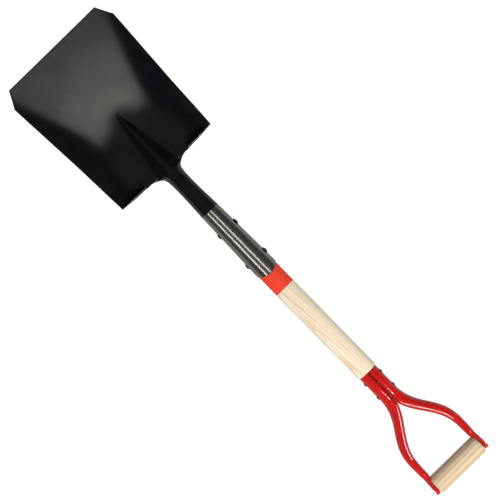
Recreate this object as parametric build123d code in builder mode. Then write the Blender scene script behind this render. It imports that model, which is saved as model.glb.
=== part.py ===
from build123d import *

import math
import os

os.makedirs("parts", exist_ok=True)

# A square-mouth shovel with a D-grip, lying on its back. Millimetres. +X runs along the shaft from
# the blade to the grip, +Z is up, out of the face of the blade, and the shovel is alike on both sides
# of Y = 0. Lengths along the shovel are stations: distances from the blade's front edge.

# ---- driving dimensions ----
CLEAR = 0.1  # clearance between pieces that touch
OVERALL = 1061.8  # front edge of the blade to the far side of the grip
AXIS_Z = 24.0  # height of the shaft's axis over the floor

SHEET = 1.9  # blade steel
BLADE_HALF = 124.0  # half width at the front corners
FRONT_HALF = 107.0  # half width of the straight front edge
CORNER_S = 32.0  # station where the clipped corners end
REAR_HALF = 109.5  # half width at the foot steps
REAR_S = 297.0  # station of the foot steps
REAR_SWEEP = 0.5  # the foot steps lean forward by this much at the corners
STEP_Z = 31.0  # height of the foot steps at their inner ends
HEEL_S = 190.0  # station of the pan's lowest line
HEEL_BLEND = 5.0  # roundness of the heel
HEEL_DIP = 3.12  # lowers the pan so that its rounded heel rests on the floor
FRONT_LIFT = math.tan(math.radians(12))  # rise of the front pan towards the front edge
REAR_LIFT = math.tan(math.radians(5.5))  # rise of the rear pan towards the steps
FOOT_S = 180.0  # station where the side walls' feet are nearest to each other
FOOT_HALF = 64.0  # half width between the feet there
FRONT_FLARE = 0.378  # how fast the feet spread towards the front, and towards the rear
REAR_FLARE = 0.13
FOOT_BLEND = 14.0  # roundness of that change
FOOT_ROUND = 10.0  # roundness of the bend between the pan and its side walls
WALL_SLOPE = 0.84  # rise of the side walls per width at the front
REAR_WALL_SLOPE = 1.2
FROG_S = 163.0  # station of the frog's tip
FROG_LENGTH = 125.0
FROG_TIP_HALF = 5.0  # half width of the frog at its tip
FROG_HALF = 27.0  # half width of the frog at its rear
FROG_TAPER = 0.75  # below 1, so that the frog is a blunt arch in plan
CREST_END_S = 306.0  # station where the frog's crest levels out as the neck
STRIP_HALF = 42.0  # half width of the strip that curls up into the neck
SWELL_S = 192.0  # station of the gentle swelling round the frog's tip
SWELL_H = 3.0
SWELL_REACH = 22.0
NECK_R = 16.9  # outer radius of the neck
NECK_CURL = 10.5  # length over which the flat strip curls into the neck
NECK_FLARE_S = 330.0  # station where the neck starts to widen towards the socket
NECK_FLARE_POWER = 1.6
STEP_END = 51.0  # foot steps run from the rear corners to this half width

SOCKET_S = 405.0  # station of the shoulder that the collar meets
SOCKET_R = 19.2  # outer radius of the neck at that shoulder
SOCKET_END = 541.0  # station of the socket's open end, under the collar
SOCKET_GAP = 60.0  # angle of the open back of the socket, in degrees
COLLAR_T = 1.6  # collar wall
COLLAR_R = 22.8  # outer radius of the collar at its tongue's tip
COLLAR_SIDE_S = 551.7  # station where the collar ends at its sides
COLLAR_TIP_S = 561.7  # station of the tip of its tongue

TANG_R = SOCKET_R - COLLAR_T - CLEAR  # outer radius of the socket's front end, under the collar
TANG_END_R = 20.5  # and of its rear end

SHAFT_START_S = 298.0  # tip of the wood inside the neck
SHAFT_R = 21.2  # bare wood
BAND_R = 20.85  # outer radius of the red band
BAND_T = 0.3
BAND_START_S = 551.0
BAND_END_S = 598.0
SHAFT_END_S = 810.0  # shoulder against the yoke
TENON_END_S = 866.0
SEAM_END_S = 872.0  # behind this station the yoke halves are closed tubes
HOLLOW_END_S = 1017.0  # behind this station they are solid, down to the ears

YOKE_R = 19.2  # half width of the yoke's socket
YOKE_T = 1.8  # yoke wall
GRIP_S = 1042.9  # station of the grip's axis
GRIP_R = 18.9
GRIP_HALF = 56.3  # half length of the grip
EAR_HALF = 64.5  # outer half width over the ears
EAR_R = 15.5

GRIP_ROUND = 9.0  # rounding of the grip's ends
DISH_Y = 61.0  # floor of the dish in each ear, where the rod is upset
DISH_R = 9.0
ROD_R = 3.2
ROD_HEAD_R = 7.5
SEAM_HALF = 4.0  # the yoke's rolled seam edges reach in to this height over the axis

RIVET_R = 3.0
HEAD_R = 6.4  # collar rivets
HEAD_H = 3.9
YOKE_HEAD_R = 5.0
YOKE_HEAD_H = 3.0
SEAT = 0.8  # depth of the flats under the rivets' heads
RIVET_TILT = 11.0  # the rivets' left ends stand this many degrees up
COLLAR_RIVETS = {"front": 451.0, "rear": 524.5}
YOKE_RIVETS = {"front": 825.0, "rear": 858.0}

SHAFT_AXIS = Axis((0, 0, AXIS_Z), (1, 0, 0))


def at(station):
    """X of a station."""
    return station - OVERALL / 2


def across(station):
    """The plane square to the shaft's axis at a station: its x is Y, its y is Z."""
    return Plane.YZ.offset(at(station))


def soft_max(a, b, blend):
    """The larger of two values, with a rounded change from one to the other."""
    return (a + b + math.hypot(a - b, blend)) / 2


def ease(value):
    """0 to 1 with level ends."""
    t = min(max(value, 0.0), 1.0)
    return t * t * (3 - 2 * t)


# ---- blade: formulas of the pressing's upper face ----
def pan_z(s):
    """Height of the pan beside the frog: two slopes that meet at the heel."""
    front = (HEEL_S - s) * FRONT_LIFT
    rear = (s - HEEL_S) * REAR_LIFT
    return SHEET + soft_max(front, rear, HEEL_BLEND) - HEEL_DIP


def foot_y(s):
    """Half width at which the side walls leave the pan."""
    front = FOOT_HALF + (FOOT_S - s) * FRONT_FLARE
    rear = FOOT_HALF + (s - FOOT_S) * REAR_FLARE
    return soft_max(front, rear, FOOT_BLEND)


def wall_slope(s):
    return WALL_SLOPE + (REAR_WALL_SLOPE - WALL_SLOPE) * ease((s - HEEL_S + 5) / (REAR_S - HEEL_S))


def frog_half(s):
    """Half width of the frog at the pan."""
    grown = FROG_HALF * (max(s - FROG_S + 3, 0.0) / FROG_LENGTH) ** FROG_TAPER
    return min(max(grown, FROG_TIP_HALF), FROG_HALF)


def frog_crest(s):
    """Height of the frog's crest: a ramp from its tip that levels out as the top of the neck."""
    top = AXIS_Z + NECK_R
    start = pan_z(FROG_S)
    ramp = start + (s - FROG_S) * (top - start) / (CREST_END_S - FROG_S)
    return -soft_max(-ramp, -top, 2.0)


def pressing_z(s, y):
    """Height of the blade's upper face at a station and a distance from the middle."""
    y = abs(y)
    z = pan_z(s) + SWELL_H * math.exp(-(((s - SWELL_S) ** 2 + y**2) / SWELL_REACH**2))
    rise = y - foot_y(s)
    z += wall_slope(s) * (rise + math.hypot(rise, FOOT_ROUND)) / 2
    height = max(frog_crest(s) - pan_z(s), 0.0)
    half = frog_half(s)
    if y < half:
        z += height * (1 + math.cos(math.pi * y / half)) / 2
    return z


def below(points):
    """The points of the lower face: each upper point moved square to the curve by the sheet's thickness."""
    moved = []
    for i, (y, z) in enumerate(points):
        y0, z0 = points[max(i - 1, 0)]
        y1, z1 = points[min(i + 1, len(points) - 1)]
        run = math.hypot(y1 - y0, z1 - z0)
        moved.append((y + SHEET * (z1 - z0) / run, z - SHEET * (y1 - y0) / run))
    return moved


STRIP = STRIP_HALF / FROG_HALF  # half width of the middle strip, in frog half widths
STRIP_STEPS = 8
PANEL_STEPS = 8
OUTER_HALF = BLADE_HALF + 4  # the pressing is made this wide and cut to its outline


def pan_points(s):
    """Upper points of the pressing at a station, from left to right."""
    strip = STRIP * frog_half(s)
    right = [strip * i / STRIP_STEPS for i in range(STRIP_STEPS + 1)]
    right += [strip + (OUTER_HALF - strip) * i / PANEL_STEPS for i in range(1, PANEL_STEPS + 1)]
    ys = [-y for y in reversed(right[1:])] + right
    return [(y, pressing_z(s, y)) for y in ys]


def neck_radius(s):
    flare = max(s - NECK_FLARE_S, 0.0) / (SOCKET_S - NECK_FLARE_S)
    return NECK_R + (SOCKET_R - NECK_R) * flare**NECK_FLARE_POWER


def ring_points(radius):
    """Points round an open-backed ring about the shaft's axis."""
    half = math.radians(180 - SOCKET_GAP / 2)
    angles = [half * i / STRIP_STEPS for i in range(-STRIP_STEPS, STRIP_STEPS + 1)]
    return [(radius * math.sin(a), AXIS_Z + radius * math.cos(a)) for a in angles]


def neck_points(s):
    """Upper points of the strip behind the pan, which curls from the frog into the round neck."""
    curl = 1 - math.exp(-(s - REAR_S) / NECK_CURL)
    flat = [STRIP_HALF * i / STRIP_STEPS for i in range(-STRIP_STEPS, STRIP_STEPS + 1)]
    ring = ring_points(neck_radius(s))
    return [
        (y * (1 - curl) + ry * curl, pressing_z(s, y) * (1 - curl) + rz * curl)
        for y, (ry, rz) in zip(flat, ring)
    ]


def sheet_sketch(s, upper, lower, cuts=()):
    """The thin cross-section between two rows of points, its long edges cut at the given places."""
    ends = [0, *cuts, len(upper) - 1]
    with BuildSketch(across(s)) as sketch:
        with BuildLine():
            for a, b in zip(ends, ends[1:]):
                Spline(*upper[a : b + 1])
            Line(upper[-1], lower[-1])
            for a, b in reversed(list(zip(ends, ends[1:]))):
                Spline(*reversed(lower[a : b + 1]))
            Line(lower[0], upper[0])
        make_face()
    return sketch.sketch


def cross_hole(station, radius, tilt=RIVET_TILT):
    """A round bar square to the shaft's axis, wider than the tool, to cut a rivet's hole with."""
    with BuildPart() as bar:
        with BuildSketch(Plane.XZ):
            with Locations((at(station), AXIS_Z)):
                Circle(radius)
        extrude(amount=BLADE_HALF, both=True)
    return bar.part.rotate(SHAFT_AXIS, tilt)


# ---- blade ----
PAN_STATIONS = (-4, 60, 110, 140, 155, 163, 170, 178, 187, 198, 212, 228, 246, 264, 281, REAR_S)
NECK_STATIONS = (300.5, 304.5, 309, 315, 323, 335, 350, 370, 388)

with BuildPart() as pan:
    cuts = (PANEL_STEPS, PANEL_STEPS + 2 * STRIP_STEPS)
    loft([sheet_sketch(s, pan_points(s), below(pan_points(s)), cuts) for s in PAN_STATIONS], ruled=True)
    with BuildSketch(Plane.XY):
        with BuildLine():
            right = [
                (at(0), FRONT_HALF),
                (at(CORNER_S), BLADE_HALF),
                (at(REAR_S - REAR_SWEEP), REAR_HALF),
                (at(REAR_S), STEP_END),
            ]
            Polyline(*right, *[(x, -y) for x, y in reversed(right)], close=True)
        make_face()
    extrude(amount=100, both=True, mode=Mode.INTERSECT)

with BuildPart() as neck:
    rear = pan_points(REAR_S)
    first, last = PANEL_STEPS, PANEL_STEPS + 2 * STRIP_STEPS + 1
    sections = [sheet_sketch(REAR_S, rear[first:last], below(rear)[first:last])]
    sections += [sheet_sketch(s, neck_points(s), below(neck_points(s))) for s in NECK_STATIONS]
    sections.append(sheet_sketch(SOCKET_S, ring_points(SOCKET_R), ring_points(TANG_R - SHEET)))
    loft(sections, ruled=True)

with BuildPart() as socket:
    wide = {SOCKET_S: TANG_R, SOCKET_END: TANG_END_R}
    loft([sheet_sketch(s, ring_points(r), ring_points(r - SHEET)) for s, r in wide.items()], ruled=True)

with BuildPart() as steps:
    edge = [STEP_END + (REAR_HALF - STEP_END) * i / 6 for i in range(7)]
    with BuildSketch(across(REAR_S - 12)):
        with BuildLine():
            foot = [(y, pressing_z(REAR_S - 2, y) - SHEET / 2) for y in edge]
            Spline(*foot)
            rim = (REAR_HALF, foot[-1][1] + SHEET / 2)
            Polyline(foot[-1], rim, (STEP_END + 5, STEP_Z), (STEP_END, STEP_Z - 4), foot[0])
        make_face()
    extrude(amount=12)
    with BuildSketch(Plane.XY):
        with BuildLine():
            outer = [(at(REAR_S), STEP_END), (at(REAR_S - REAR_SWEEP), REAR_HALF)]
            Polyline(*outer, *[(x - SHEET, y) for x, y in reversed(outer)], close=True)
        make_face()
    extrude(amount=100, both=True, mode=Mode.INTERSECT)
    mirror(about=Plane.XZ)

with BuildPart() as blade:
    add(pan.part)
    add(neck.part)
    add(socket.part)
    add(steps.part)
    for station in COLLAR_RIVETS.values():
        add(cross_hole(station, RIVET_R + CLEAR), mode=Mode.SUBTRACT)

blade.part.label = "blade"
export_step(blade.part, "parts/blade.step")


# ---- socket collar ----
def flat_seat(station, radius, surface_y):
    """A pair of short bars that cut a flat for a rivet's head into each side of a round piece."""
    with BuildPart() as bars:
        with BuildSketch(Plane.XZ.offset(-surface_y)):
            with Locations((at(station), AXIS_Z)):
                Circle(radius)
        extrude(amount=-20)
        mirror(about=Plane.XZ)
    return bars.part.rotate(SHAFT_AXIS, RIVET_TILT)


def collar_radius(s):
    return SOCKET_R + (COLLAR_R - SOCKET_R) * (s - SOCKET_S) / (COLLAR_TIP_S - SOCKET_S)


with BuildPart() as socket_collar:
    with BuildSketch(Plane.XZ):
        with BuildLine():
            front, tip = SOCKET_S + CLEAR, COLLAR_TIP_S
            outside = [(at(s), AXIS_Z + collar_radius(s)) for s in (front, tip)]
            inside = [(at(s), AXIS_Z + collar_radius(s) - COLLAR_T) for s in (tip, front)]
            Polyline(*outside, *inside, close=True)
        make_face()
    revolve(axis=SHAFT_AXIS)
    with BuildSketch(Plane.XY):
        with BuildLine():
            side_y = collar_radius(COLLAR_SIDE_S)
            corner = (at(COLLAR_SIDE_S), side_y)
            Polyline((at(COLLAR_SIDE_S), -side_y), (at(0), -side_y), (at(0), side_y), corner)
            ThreePointArc(corner, (at(COLLAR_TIP_S), 0), (at(COLLAR_SIDE_S), -side_y))
        make_face()
    extrude(amount=2 * AXIS_Z, mode=Mode.INTERSECT)
    for station in COLLAR_RIVETS.values():
        add(cross_hole(station, RIVET_R + CLEAR), mode=Mode.SUBTRACT)
        seat = flat_seat(station, HEAD_R + CLEAR, collar_radius(station) - SEAT)
        add(seat, mode=Mode.SUBTRACT)
socket_collar.part.label = "socket_collar"
export_step(socket_collar.part, "parts/socket_collar.step")


# ---- rivets ----
def cross_rivet(station, shank_r, seat_y, head_r, head_h):
    """A rivet square to the shaft's axis, with a domed head on each side."""
    edge_h = head_h / 4
    dome_h = head_h - edge_h
    dome_r = (head_r**2 + dome_h**2) / (2 * dome_h)
    spread = math.degrees(math.asin(head_r / dome_r))
    with BuildPart() as rivet:
        with BuildSketch(Plane.XY.offset(AXIS_Z)):
            with BuildLine():
                x = at(station)
                centre_y = seat_y + head_h - dome_r
                for side, start in ((1, 90 - spread), (-1, -90)):
                    CenterArc((x, side * centre_y), dome_r, start, spread)
                    rim = (x + head_r, side * (seat_y + edge_h))
                    Polyline(rim, (x + head_r, side * seat_y), (x + shank_r, side * seat_y))
                Line((x + shank_r, seat_y), (x + shank_r, -seat_y))
                Line((x, seat_y + head_h), (x, -seat_y - head_h))
            make_face()
        revolve(axis=Axis((at(station), 0, AXIS_Z), (0, 1, 0)))
    return rivet.part


def export_rivet(label, *sizes):
    rivet = cross_rivet(*sizes).rotate(SHAFT_AXIS, RIVET_TILT)
    rivet.label = label
    export_step(rivet, f"parts/{label}.step")


for place, station in COLLAR_RIVETS.items():
    seat_y = collar_radius(station) - SEAT
    export_rivet(f"collar_rivet_{place}", station, RIVET_R, seat_y, HEAD_R, HEAD_H)

for place, station in YOKE_RIVETS.items():
    export_rivet(f"yoke_rivet_{place}", station, RIVET_R, YOKE_R - SEAT, YOKE_HEAD_R, YOKE_HEAD_H)


# ---- yoke halves ----
# Each row of an arm: station, inner half width, outer half width, half width where it is tallest,
# half height, squareness of its inner side.
SOCKET_ROW = (0.1, YOKE_R, 6.0, 18.1, 3.0)
ARM = (
    (SHAFT_END_S, *SOCKET_ROW),
    (866.0, *SOCKET_ROW),
    (887.0, 0.1, 22.6, 8.0, 17.2, 2.6),
    (903.0, 5.4, 29.1, 16.5, 16.0, 2.2),
    (915.0, 12.0, 36.0, 23.8, 15.3, 2.0),
    (927.0, 20.1, 43.9, 31.8, 14.6, 2.0),
    (939.0, 28.4, 51.2, 39.8, 13.9, 2.0),
    (951.0, 36.0, 57.3, 46.8, 13.3, 2.0),
    (962.0, 41.7, 60.9, 51.5, 12.9, 2.0),
    (973.0, 45.6, 63.1, 54.5, 12.6, 2.0),
    (985.0, 48.2, 64.2, 56.3, 12.3, 2.0),
    (1000.0, 49.2, 64.1, 56.7, 12.2, 2.0),
    (HOLLOW_END_S, 49.7, 63.4, 56.6, 12.5, 2.0),
    (1023.0, 50.6, 63.2, 57.0, 13.3, 2.2),
    (1026.5, 54.0, 63.3, 58.5, 14.2, 2.8),
    (1029.5, 55.9, 63.6, 59.5, 14.9, 3.3),
    (1032.5, 56.5, 63.9, 60.0, 15.3, 3.8),
    (1036.0, 56.5, 64.2, 60.2, EAR_R, 4.0),
    (GRIP_S + EAR_R + 1, 56.5, EAR_HALF, 60.2, EAR_R, 4.0),
)
ROW_POINTS = 16


def arm_outline(inner, outer, tallest, half_height, square):
    """The closed outline of an arm's cross-section, round outside and squarer inside."""
    points = []
    for i in range(ROW_POINTS):
        angle = 2 * math.pi * i / ROW_POINTS
        c, s = math.cos(angle), math.sin(angle)
        power = 1.0 if c >= 0 else 2 / square
        reach = outer - tallest if c >= 0 else tallest - inner
        y = tallest + reach * math.copysign(abs(c) ** power, c)
        points.append((y, AXIS_Z + half_height * math.copysign(abs(s) ** power, s)))
    return points


def arm_sketch(station, inner, outer, tallest, half_height, square):
    with BuildSketch(across(station)) as sketch:
        with BuildLine():
            Spline(*arm_outline(inner, outer, tallest, half_height, square), periodic=True)
        make_face()
    return sketch.sketch


def inset(row, wall):
    station, inner, outer, tallest, half_height, square = row
    return (station, inner + wall, outer - wall, tallest, half_height - wall, square)


with BuildPart() as arm:
    loft([arm_sketch(*row) for row in ARM], ruled=True)
    hollow = [inset(row, YOKE_T) for row in ARM if row[0] <= HOLLOW_END_S]
    loft([arm_sketch(*row) for row in hollow], ruled=True, mode=Mode.SUBTRACT)
    # the seam wall is left out where the shaft's tenon fills the socket
    with BuildSketch(across(SHAFT_END_S)):
        with Locations((0, AXIS_Z)):
            Rectangle(4 * YOKE_T, 2 * SEAM_HALF)
    extrude(amount=SEAM_END_S - SHAFT_END_S, mode=Mode.SUBTRACT)
    # the ear's round end, seen from the side
    with BuildSketch(Plane.XZ):
        with Locations((at(GRIP_S), AXIS_Z)):
            Circle(EAR_R)
        with Locations((at(GRIP_S - 200), AXIS_Z)):
            Rectangle(400, 2 * AXIS_Z)
    extrude(amount=-2 * EAR_HALF, mode=Mode.INTERSECT)
    with BuildSketch(Plane.XZ.offset(-DISH_Y)):
        with Locations((at(GRIP_S), AXIS_Z)):
            Circle(DISH_R)
    extrude(amount=-20, mode=Mode.SUBTRACT)
    add(cross_hole(GRIP_S, ROD_R + CLEAR, tilt=0), mode=Mode.SUBTRACT)

for label, half in {"yoke_left": arm.part, "yoke_right": arm.part.mirror(Plane.XZ)}.items():
    with BuildPart() as yoke:
        add(half)
        for station in YOKE_RIVETS.values():
            add(cross_hole(station, RIVET_R + CLEAR), mode=Mode.SUBTRACT)
            add(flat_seat(station, YOKE_HEAD_R + CLEAR, YOKE_R - SEAT), mode=Mode.SUBTRACT)
    yoke.part.label = label
    export_step(yoke.part, f"parts/{label}.step")


# ---- shaft ----
with BuildPart() as shaft:
    with BuildSketch(Plane.XZ):
        with BuildLine():
            profile = (
                (SHAFT_START_S, 9.0),
                (SHAFT_START_S + 6, 11.5),
                (NECK_FLARE_S, NECK_R - SHEET - 7 * CLEAR),
                (SOCKET_S, TANG_R - SHEET - CLEAR),
                (SOCKET_END, TANG_END_R - SHEET - CLEAR),
                (SOCKET_END + 2, BAND_R - BAND_T - CLEAR),
                (BAND_END_S, BAND_R - BAND_T),
                (BAND_END_S + CLEAR, SHAFT_R),
                (SHAFT_END_S - 2, SHAFT_R),
                (SHAFT_END_S - CLEAR, SHAFT_R - 1),
            )
            outline = [(at(s), AXIS_Z + r) for s, r in profile]
            Polyline((at(profile[0][0]), AXIS_Z), *outline, (outline[-1][0], AXIS_Z), close=True)
        make_face()
    revolve(axis=SHAFT_AXIS)
    with BuildSketch(across(SHAFT_END_S - CLEAR)):
        with BuildLine():
            fit = inset((SHAFT_END_S, *SOCKET_ROW), YOKE_T + CLEAR)
            Spline(*arm_outline(*fit[1:]), periodic=True)
        make_face()
        mirror(about=Plane.YZ)
        with Locations((0, AXIS_Z)):
            Rectangle(4 * YOKE_T, 2 * (SEAM_HALF - CLEAR))
    extrude(amount=TENON_END_S - SHAFT_END_S)
    for station in (*COLLAR_RIVETS.values(), *YOKE_RIVETS.values()):
        add(cross_hole(station, RIVET_R + CLEAR / 2), mode=Mode.SUBTRACT)
shaft.part.label = "shaft"
export_step(shaft.part, "parts/shaft.step")

# ---- red band ----
with BuildPart() as red_band:
    with BuildSketch(across(BAND_START_S)):
        with Locations((0, AXIS_Z)):
            Circle(BAND_R)
            Circle(BAND_R - BAND_T, mode=Mode.SUBTRACT)
    extrude(amount=BAND_END_S - BAND_START_S)
red_band.part.label = "red_band"
export_step(red_band.part, "parts/red_band.step")

# ---- grip ----
GRIP_AXIS = Axis((at(GRIP_S), 0, AXIS_Z), (0, 1, 0))

with BuildPart() as grip:
    with BuildSketch(Plane.XY.offset(AXIS_Z)):
        with BuildLine():
            bore_x = at(GRIP_S) + ROD_R + CLEAR
            wall_x = at(GRIP_S) + GRIP_R
            shoulder = (wall_x, GRIP_HALF - GRIP_ROUND)
            end = (wall_x - GRIP_ROUND, GRIP_HALF)
            Polyline((bore_x, 0), (wall_x, 0), shoulder)
            RadiusArc(shoulder, end, -GRIP_ROUND)
            Polyline(end, (bore_x, GRIP_HALF), (bore_x, 0))
        make_face()
    revolve(axis=GRIP_AXIS)
    mirror(about=Plane.XZ)
grip.part.label = "grip"
export_step(grip.part, "parts/grip.step")

# ---- grip rod ----
grip_rod = cross_rivet(GRIP_S, ROD_R, DISH_Y, ROD_HEAD_R, EAR_HALF - CLEAR - DISH_Y)
grip_rod.label = "grip_rod"
export_step(grip_rod, "parts/grip_rod.step")
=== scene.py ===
import math

import bpy
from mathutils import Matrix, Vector, noise


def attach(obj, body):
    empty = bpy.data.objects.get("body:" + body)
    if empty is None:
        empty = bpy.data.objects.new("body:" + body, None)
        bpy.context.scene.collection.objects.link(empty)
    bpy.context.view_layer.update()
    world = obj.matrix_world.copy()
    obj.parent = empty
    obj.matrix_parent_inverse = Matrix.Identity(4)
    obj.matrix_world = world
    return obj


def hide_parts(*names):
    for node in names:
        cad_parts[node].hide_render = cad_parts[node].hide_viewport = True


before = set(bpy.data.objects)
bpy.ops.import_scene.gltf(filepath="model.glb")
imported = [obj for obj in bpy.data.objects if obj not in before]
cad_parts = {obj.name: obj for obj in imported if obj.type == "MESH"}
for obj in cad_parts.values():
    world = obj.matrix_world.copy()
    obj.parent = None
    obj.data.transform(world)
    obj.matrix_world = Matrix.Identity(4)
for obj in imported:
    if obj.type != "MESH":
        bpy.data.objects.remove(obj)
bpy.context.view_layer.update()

# A square-mouth shovel with a D-grip, seen from above. The shapes are written in millimetres and in
# stations, which are distances from the blade's front edge along +X, and become metres in make_piece.
# The shovel is alike on both sides of Y = 0.

# ---- driving dimensions, as in the CAD model ----
MM = 0.001
CLEAR = 0.1  # clearance between pieces that touch
OVERALL = 1061.8
AXIS_Z = 24.0  # height of the shaft's axis over the floor

SHEET = 1.9  # blade steel
BLADE_HALF = 124.0  # half width just behind the clipped corners
FRONT_HALF = 107.0  # half width of the straight front edge
CORNER_S = 32.0  # station where the clipped corners end
REAR_HALF = 109.5  # half width at the foot steps
REAR_S = 297.0  # station of the pan's rear edge
REAR_SWEEP = 0.5  # the rear edge lies this much further forward at the corners
HEEL_S = 190.0  # station of the pan's lowest line
HEEL_BLEND = 5.0
HEEL_DIP = 3.08  # brings the heel's underside down to the floor; 3.12 in the CAD model
# slopes of the pan in front of the heel and behind it
FRONT_LIFT = math.tan(math.radians(12))
REAR_LIFT = math.tan(math.radians(5.5))
FOOT_S = 180.0  # station where the two straight lines of a side wall's foot would meet
FOOT_HALF = 64.0
FRONT_FLARE = 0.378
REAR_FLARE = 0.13
FOOT_BLEND = 14.0
FOOT_ROUND = 10.0  # roundness of the bend between the pan and its side walls
WALL_SLOPE = 0.84
REAR_WALL_SLOPE = 1.2
WALL_CHANGE_S = 185.0  # station where the walls start to get steeper
FROG_S = 163.0  # station of the frog's tip
FROG_RUN_IN = 3.0  # the frog's outline starts this far in front of its tip
FROG_LENGTH = 125.0
FROG_TIP_HALF = 5.0
FROG_HALF = 27.0
FROG_TAPER = 0.75
CREST_END_S = 306.0  # station where the frog's crest levels out as the neck
CREST_BLEND = 2.0
STRIP_HALF = 42.0  # half width of the strip that curls into the neck
SWELL_S = 192.0  # station of the gentle swelling round the frog's tip
SWELL_H = 3.0
SWELL_REACH = 22.0
NECK_R = 16.9
NECK_CURL = 10.5  # length over which the flat strip curls into the neck
NECK_FLARE_S = 330.0
NECK_FLARE_POWER = 1.6
STEP_END = 51.0  # the foot steps run from the rear corners to this half width
STEP_Z = 31.0  # height of the foot steps at their inner ends

SOCKET_S = 405.0  # station of the shoulder that the collar meets
SOCKET_R = 19.2
SOCKET_END = 541.0
SOCKET_GAP = 60.0  # angle that the neck and the socket leave open underneath, in degrees
COLLAR_T = 1.6
COLLAR_R = 22.8
COLLAR_SIDE_S = 551.7  # station where the collar ends at its sides
COLLAR_TIP_S = 561.7  # station of the tip of its tongue
TANG_R = SOCKET_R - COLLAR_T - CLEAR  # outer radius of the socket's front end, under the collar
TANG_END_R = 20.5

SHAFT_START_S = 298.0
SHAFT_TIP_R = 9.0
TAPER_S = 330.0  # from here to its tip the wood tapers faster, down from TAPER_R
TAPER_R = 14.0
SHAFT_R = 21.2
BAND_R = 20.85
BAND_T = 0.3
BAND_START_S = 551.0
BAND_END_S = 598.0
SHAFT_END_S = 810.0  # shoulder against the yoke
TENON_R = 14.5
TENON_END_S = 866.0
SEAM_END_S = 872.0  # behind this station the yoke halves are closed tubes
HOLLOW_END_S = 1017.0  # behind this station they are solid

YOKE_R = 19.2
YOKE_T = 1.8
GRIP_S = 1042.9
GRIP_R = 18.9
GRIP_HALF = 56.3
GRIP_ROUND = 9.0
EAR_HALF = 64.5
EAR_R = 15.5
DISH_Y = 61.0  # floor of the dish in each ear, where the rod is upset
DISH_R = 9.0
DISH_SIDE = 3.0  # width of its sloping side
ROD_R = 3.2
ROD_HEAD_R = 7.5
SEAM_HALF = 4.0  # the yoke's seam edges reach in to this height over the axis

RIVET_R = 3.0
HEAD_R = 6.4
HEAD_H = 3.9
YOKE_HEAD_R = 5.0
YOKE_HEAD_H = 3.0
SEAT = 0.8  # depth of the flats under the rivets' heads
SEAT_EDGE = 2.0  # width of their soft edge
RIVET_TILT = math.radians(11)
COLLAR_RIVETS = {"front": 451.0, "rear": 524.5}
YOKE_RIVETS = {"front": 825.0, "rear": 858.0}


# ---- small mathematics ----
def at_station(s):
    """X of a station, in millimetres."""
    return s - OVERALL / 2


def soft_max(a, b, blend):
    """The larger of two values, with a rounded change from one to the other."""
    return (a + b + math.hypot(a - b, blend)) / 2


def ease(value):
    """0 to 1 with level ends."""
    t = min(max(value, 0.0), 1.0)
    return t * t * (3 - 2 * t)


def mix(a, b, t):
    return a + (b - a) * t


def mix_point(a, b, t):
    return tuple(mix(p, q, t) for p, q in zip(a, b))


# ---- mesh building ----
EDGE_ROUND = 0.45  # how far the corners of the blade's cut edge are rounded
COLLAR_ROUND = 0.4
YOKE_ROUND = 0.5
ROUND_COLUMNS = 128  # points round the band, the shaft and the grip


def face_normal(points, face):
    """Newell's normal of a face, as long as its area is large."""
    total = Vector()
    for i, index in enumerate(face):
        a, b = Vector(points[index]), Vector(points[face[(i + 1) % len(face)]])
        total += a.cross(b)
    return total


def point_normals(points, faces):
    normals = [Vector() for _ in points]
    for face in faces:
        normal = face_normal(points, face)
        for index in face:
            normals[index] += normal
    return [normal.normalized() for normal in normals]


def free_edges(faces):
    """Edges that only one face has, in that face's direction."""
    directed = {(f[i], f[(i + 1) % len(f)]) for f in faces for i in range(len(f))}
    return sorted((a, b) for a, b in directed if (b, a) not in directed)


def shell(outer, inner, faces, rounding, inner_faces=None):
    """A closed sheet from two skins that number their points alike, with a rounded rim where the
    faces end. Returns its points, its faces, and the rim's points."""
    inner_faces = faces if inner_faces is None else inner_faces
    normals = point_normals(outer, faces)
    outer = [Vector(p) for p in outer]
    inner = [Vector(p) for p in inner]
    away = {}
    rim = free_edges(faces)
    for a, b in rim:
        side = (outer[b] - outer[a]).cross(normals[a] + normals[b]).normalized()
        for index in (a, b):
            away[index] = away.get(index, Vector()) + side
    middle = {}
    points = outer + inner
    for index, side in away.items():
        step = side.normalized() * rounding
        middle[index] = len(points)
        points.append((outer[index] + inner[index]) / 2)
        points[index] = outer[index] - step
        points[len(outer) + index] = inner[index] - step
    shift = len(outer)
    closed = [tuple(face) for face in faces]
    closed += [tuple(shift + i for i in reversed(face)) for face in inner_faces]
    for a, b in rim:
        closed.append((b, a, middle[a], middle[b]))
        closed.append((middle[b], middle[a], shift + a, shift + b))
    used = sorted({i for face in closed for i in face})
    number = {old: new for new, old in enumerate(used)}
    closed = [tuple(number[i] for i in face) for face in closed]
    rim_points = {number[i] for i in middle.values()}
    return [tuple(points[i]) for i in used], closed, rim_points


def make_piece(name, points, faces, material, node, slot, edge=None):
    """A smooth mesh piece in metres that stands for a CAD node and rides on the shovel's body. The
    attribute edge, from 0 to 1, tells the material where to mark edges: a light bare-steel line on
    the blade, which on the foot steps' tops is a painted highlight, and darker red on the yoke."""
    mesh = bpy.data.meshes.new(name)
    mesh.from_pydata([(x * MM, y * MM, z * MM) for x, y, z in points], [], faces)
    mesh.validate()
    mesh.polygons.foreach_set("use_smooth", [True] * len(mesh.polygons))
    worn = mesh.attributes.new("edge", "FLOAT", "POINT")
    worn.data.foreach_set("value", edge or [0.0] * len(points))
    mesh.materials.append(material)
    mesh.update()
    piece = bpy.data.objects.new(name, mesh)
    bpy.context.scene.collection.objects.link(piece)
    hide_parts(node)
    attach(piece, "root")
    return piece


def grid_faces(columns, rows, around=False):
    """Quads of a grid whose point number is row * columns + column."""
    faces = []
    for j in range(rows - 1):
        for i in range(columns if around else columns - 1):
            k = (i + 1) % columns
            faces.append((j * columns + i, j * columns + k, (j + 1) * columns + k, (j + 1) * columns + i))
    return faces


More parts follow.
